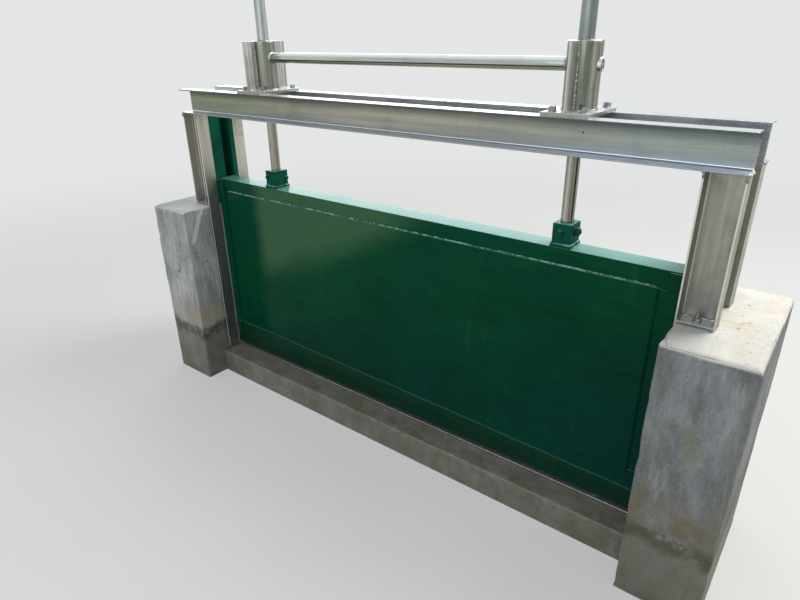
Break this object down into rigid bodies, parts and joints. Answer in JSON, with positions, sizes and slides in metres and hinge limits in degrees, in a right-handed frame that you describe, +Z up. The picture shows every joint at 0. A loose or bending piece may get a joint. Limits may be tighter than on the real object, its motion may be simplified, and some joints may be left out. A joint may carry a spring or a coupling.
{
  "type": "sluice gate",
  "caption": "Vertical-lift canal sluice gate: a painted steel leaf on screw stems in a stainless channel frame with gear housings and a cross shaft, set in concrete piers with a sill.",
  "frame": {"origin": "middle of the underside of the sill and piers", "axes": "+X across the canal towards the crank, +Y upstream along the canal, +Z up"},
  "size_m": [2.526, 0.528, 1.884],
  "materials": {
    "stainless": "brushed, with weld marks and water stains",
    "polished_steel": "bright drawn bar and tube",
    "green_paint": "glossy dark green enamel",
    "concrete": "trowelled cement render, stained near the water",
    "rubber": "matt black"
  },
  "bodies": {
    "frame": {"front_beam": "stainless", "back_beam": "stainless", "front_post_left": "stainless", "front_post_right": "stainless", "back_post_left": "stainless", "back_post_right": "stainless", "foot_plate_front_left": "stainless", "foot_plate_front_right": "stainless", "foot_plate_back_left": "stainless", "foot_plate_back_right": "stainless", "guide_left": "green_paint", "guide_right": "green_paint", "pier_left": "concrete", "pier_right": "concrete", "sill_beam": "concrete", "sill_plate": "stainless", "base_plate_left": "stainless", "base_plate_right": "stainless", "gear_housing_left": "stainless", "gear_housing_right": "stainless", "housing_wings_left": "stainless", "housing_wings_right": "stainless", "housing_lid_left": "stainless", "housing_lid_right": "stainless", "stem_cover_left": "polished_steel", "stem_cover_right": "polished_steel"},
    "drive_shaft": {"cross_shaft": "polished_steel", "crank_end": "polished_steel"},
    "leaf": {"leaf_skin": "green_paint", "leaf_top_rail": "green_paint", "leaf_bottom_rail": "green_paint", "leaf_stile_left": "green_paint", "leaf_stile_right": "green_paint", "leaf_ribs": "green_paint", "leaf_cross_ribs": "green_paint", "side_seal_left": "rubber", "side_seal_right": "rubber", "bottom_seal": "rubber", "guide_shoe_left": "green_paint", "guide_shoe_right": "green_paint", "coupling_left": "green_paint", "coupling_right": "green_paint", "stem_left": "polished_steel", "stem_right": "polished_steel"}
  },
  "joints": [
    {"name": "leaf_lift", "type": "slide", "parent": "frame", "child": "leaf", "axis": [0, 0, 1], "range_m": [0, 0.28]},
    {"name": "shaft_turn", "type": "hinge", "parent": "frame", "child": "drive_shaft", "pos_m": [0, -0.017, 1.49], "axis": [1, 0, 0], "range_deg": [0, 10085]}
  ],
  "couplings": [
    {"joint": "shaft_turn", "follows": "leaf_lift", "rad_per_m": 628.32}
  ]
}
